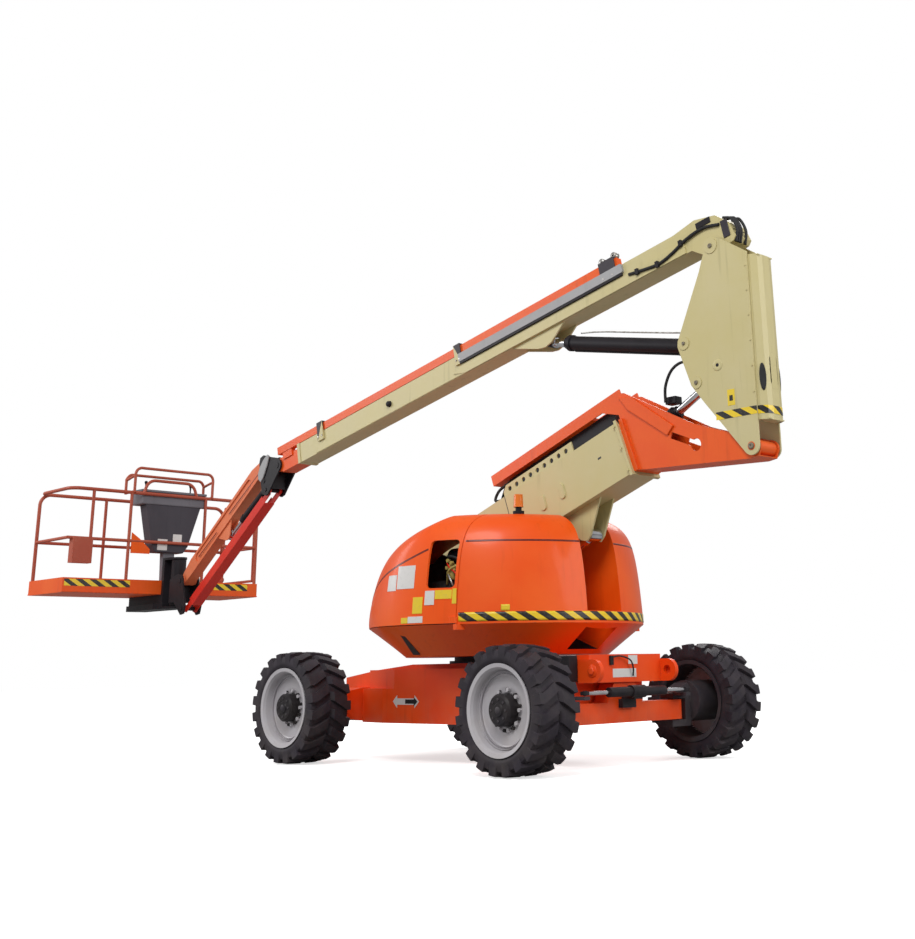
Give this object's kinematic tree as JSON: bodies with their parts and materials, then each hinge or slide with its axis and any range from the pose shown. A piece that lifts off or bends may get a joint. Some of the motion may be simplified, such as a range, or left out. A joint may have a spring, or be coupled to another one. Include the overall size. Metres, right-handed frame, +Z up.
{
  "type": "articulating boom lift",
  "caption": "Self-propelled articulating boom lift with telescoping tower, upright, telescoping main boom, levelled jib and work platform on four solid-lug tyres.",
  "frame": {"origin": "on the ground under the slewing axis of the turntable", "axes": "+X towards the steered axle and the tail, +Y to the left, +Z up; the booms stand at rest as in service, with the platform towards -X"},
  "size_m": [8.819, 2.463, 3.8908],
  "materials": {
    "orange_paint": "gloss",
    "cream_paint": "gloss",
    "red_paint": "gloss",
    "boom_paint": "gloss",
    "bare_steel": "zinc",
    "hose_rubber": "matt",
    "white_film": "satin",
    "yellow_film": "satin",
    "yellow_black": "striped",
    "dark_frame": "satin",
    "tyre_rubber": "matt",
    "rim_paint": "gloss",
    "rod_chrome": "polished",
    "barrel_paint": "gloss",
    "rail_paint": "gloss",
    "engine_iron": "rough",
    "tank_plastic": "matt",
    "amber_lens": "clear",
    "cover_plastic": "matt",
    "console_plastic": "satin"
  },
  "bodies": {
    "chassis": {"chassis_frame": "orange_paint", "front_axle": "orange_paint", "steering_cylinder": "dark_frame", "slew_ring": "dark_frame"},
    "knuckle_right": {"knuckle_right": "dark_frame"},
    "knuckle_left": {"knuckle_left": "dark_frame"},
    "steering_rod": {"steering_rod": "rod_chrome"},
    "wheel_front_right": {"tyre_front_right": "tyre_rubber", "rim_front_right": "rim_paint"},
    "wheel_front_left": {"tyre_front_left": "tyre_rubber", "rim_front_left": "rim_paint"},
    "wheel_rear_right": {"tyre_rear_right": "tyre_rubber", "rim_rear_right": "rim_paint"},
    "wheel_rear_left": {"tyre_rear_left": "tyre_rubber", "rim_rear_left": "rim_paint"},
    "turntable": {"turntable_frame": "orange_paint", "counterweight": "orange_paint", "engine_block": "engine_iron", "tank_block": "tank_plastic", "beacon": "amber_lens"},
    "hood_right": {"hood_right": "orange_paint"},
    "hood_left": {"hood_left": "orange_paint"},
    "tower_base": {"tower_base": "cream_paint"},
    "tower_lift_barrel": {"tower_lift_barrel": "barrel_paint"},
    "tower_lift_rod": {"tower_lift_rod": "rod_chrome"},
    "tower_fly": {"tower_fly": "boom_paint"},
    "level_barrel": {"level_barrel": "dark_frame"},
    "level_rod": {"level_rod": "rod_chrome"},
    "upright": {"upright_plates": "cream_paint", "upright_cover": "cream_paint"},
    "main_base": {"main_base": "cream_paint"},
    "main_fly": {"main_fly": "boom_paint"},
    "main_lift_barrel": {"main_lift_barrel": "barrel_paint"},
    "main_lift_rod": {"main_lift_rod": "rod_chrome"},
    "jib_head": {"jib_head": "dark_frame"},
    "jib_arm": {"jib_arm": "boom_paint"},
    "jib_link": {"jib_link": "red_paint"},
    "jib_barrel": {"jib_barrel": "dark_frame"},
    "jib_rod": {"jib_rod": "rod_chrome"},
    "platform_support": {"platform_support": "dark_frame"},
    "platform": {"platform_rotator": "dark_frame", "platform_tray": "boom_paint", "platform_rails": "rail_paint", "console": "console_plastic"},
    "platform_gate": {"platform_gate": "rail_paint"}
  },
  "joints": [
    {"name": "steer_right", "type": "hinge", "parent": "chassis", "child": "knuckle_right", "pos_m": [1.24, -0.64, 0.425], "axis": [0, 0, 1], "range_deg": [-35, 35]},
    {"name": "steer_left", "type": "hinge", "parent": "chassis", "child": "knuckle_left", "pos_m": [1.24, 0.64, 0.425], "axis": [0, 0, 1], "range_deg": [-35, 35]},
    {"name": "steering_rod", "type": "slide", "parent": "chassis", "child": "steering_rod", "axis": [0, 1, 0], "range_m": [-0.114, 0.114]},
    {"name": "wheel_front_right", "type": "hinge", "parent": "knuckle_right", "child": "wheel_front_right", "pos_m": [1.24, -1.035, 0.425], "axis": [0, 1, 0], "continuous": true},
    {"name": "wheel_front_left", "type": "hinge", "parent": "knuckle_left", "child": "wheel_front_left", "pos_m": [1.24, 1.035, 0.425], "axis": [0, 1, 0], "continuous": true},
    {"name": "wheel_rear_right", "type": "hinge", "parent": "chassis", "child": "wheel_rear_right", "pos_m": [-1.24, -1.035, 0.425], "axis": [0, 1, 0], "continuous": true},
    {"name": "wheel_rear_left", "type": "hinge", "parent": "chassis", "child": "wheel_rear_left", "pos_m": [-1.24, 1.035, 0.425], "axis": [0, 1, 0], "continuous": true},
    {"name": "turntable_swing", "type": "hinge", "parent": "chassis", "child": "turntable", "pos_m": [0, 0, 0.785], "axis": [0, 0, 1], "continuous": true},
    {"name": "hood_right", "type": "hinge", "parent": "turntable", "child": "hood_right", "pos_m": [0.605, -1.015, 1.4], "axis": [0, 0, 1], "range_deg": [0, 75]},
    {"name": "hood_left", "type": "hinge", "parent": "turntable", "child": "hood_left", "pos_m": [0.605, 1.015, 1.4], "axis": [0, 0, -1], "range_deg": [0, 75]},
    {"name": "tower_lift", "type": "hinge", "parent": "turntable", "child": "tower_base", "pos_m": [-0.65, 0, 1.524], "axis": [0, -1, 0], "range_deg": [-19.4, 48]},
    {"name": "tower_lift_barrel", "type": "hinge", "parent": "turntable", "child": "tower_lift_barrel", "pos_m": [-0.3, 0, 0.9], "axis": [0, -1, 0], "range_deg": [-18, 44]},
    {"name": "tower_lift_rod", "type": "slide", "parent": "tower_lift_barrel", "child": "tower_lift_rod", "axis": [0.8707, 0, 0.4918], "range_m": [-0.225, 0.556]},
    {"name": "tower_telescope", "type": "slide", "parent": "tower_base", "child": "tower_fly", "axis": [0.9432, 0, 0.3322], "range_m": [0, 1.3]},
    {"name": "upright_level", "type": "hinge", "parent": "tower_fly", "child": "upright", "pos_m": [2.672, 0, 2.125], "axis": [0, -1, 0], "range_deg": [-50, 21]},
    {"name": "level_barrel", "type": "hinge", "parent": "tower_fly", "child": "level_barrel", "pos_m": [1.15, 0, 2.05], "axis": [0, -1, 0], "range_deg": [-1.2, 0.6]},
    {"name": "level_rod", "type": "slide", "parent": "level_barrel", "child": "level_rod", "axis": [0.878, 0, 0.4786], "range_m": [-0.218, 0.536]},
    {"name": "main_lift", "type": "hinge", "parent": "upright", "child": "main_base", "pos_m": [2.434, 0, 3.638], "axis": [0, -1, 0], "range_deg": [-80, 0]},
    {"name": "main_lift_barrel", "type": "hinge", "parent": "upright", "child": "main_lift_barrel", "pos_m": [2.141, 0, 2.951], "axis": [0, -1, 0], "range_deg": [-70, 1]},
    {"name": "main_lift_rod", "type": "slide", "parent": "main_lift_barrel", "child": "main_lift_rod", "axis": [-0.9784, 0, 0.2068], "range_m": [-0.002, 0.966]},
    {"name": "main_telescope", "type": "slide", "parent": "main_base", "child": "main_fly", "axis": [-0.9806, 0, -0.1959], "range_m": [0, 3.2]},
    {"name": "platform_level", "type": "hinge", "parent": "main_fly", "child": "jib_head", "pos_m": [-3.1, 0, 2.69], "axis": [0, -1, 0], "range_deg": [-1, 81]},
    {"name": "jib_lift", "type": "hinge", "parent": "jib_head", "child": "jib_arm", "pos_m": [-3.36, 0, 2.76], "axis": [0, 1, 0], "range_deg": [-24, 80]},
    {"name": "jib_link", "type": "hinge", "parent": "jib_head", "child": "jib_link", "pos_m": [-3.29, 0, 2.465], "axis": [0, 1, 0], "range_deg": [-25, 81]},
    {"name": "jib_barrel", "type": "hinge", "parent": "jib_head", "child": "jib_barrel", "pos_m": [-3.325, 0, 2.555], "axis": [0, 1, 0], "range_deg": [-24, 80]},
    {"name": "jib_rod", "type": "slide", "parent": "jib_barrel", "child": "jib_rod", "axis": [-0.8282, 0, -0.5604], "range_m": [-0.074, 0.245]},
    {"name": "platform_support_level", "type": "hinge", "parent": "jib_arm", "child": "platform_support", "pos_m": [-4.85, 0, 1.66], "axis": [0, 1, 0], "range_deg": [-81, 25]},
    {"name": "platform_rotate", "type": "hinge", "parent": "platform_support", "child": "platform", "pos_m": [-5.06, 0, 1.65], "axis": [0, 0, 1], "range_deg": [-90, 90]},
    {"name": "platform_gate", "type": "hinge", "parent": "platform", "child": "platform_gate", "pos_m": [-5.9337, 1.0947, 2.1], "axis": [0, 0, -1], "range_deg": [0, 90]}
  ],
  "couplings": [
    {"joint": "steer_left", "follows": "steer_right", "ratio": 1},
    {"joint": "steering_rod", "follows": "steer_right", "m_per_rad": 0.183},
    {"joint": "tower_lift_barrel", "follows": "tower_lift", "ratio": 0.91},
    {"joint": "tower_lift_rod", "follows": "tower_lift", "m_per_rad": 0.66},
    {"joint": "upright_level", "follows": "tower_lift", "ratio": -1},
    {"joint": "level_barrel", "follows": "tower_lift", "ratio": -0.0197},
    {"joint": "level_rod", "follows": "tower_lift", "m_per_rad": 0.6374},
    {"joint": "main_lift_barrel", "follows": "main_lift", "ratio": 0.8625},
    {"joint": "main_lift_rod", "follows": "main_lift", "m_per_rad": -0.69},
    {"joint": "platform_level", "follows": "main_lift", "ratio": -1},
    {"joint": "jib_link", "follows": "jib_lift", "ratio": 1},
    {"joint": "jib_barrel", "follows": "jib_lift", "ratio": 0.9875},
    {"joint": "jib_rod", "follows": "jib_lift", "m_per_rad": 0.175},
    {"joint": "platform_support_level", "follows": "jib_lift", "ratio": -1}
  ]
}
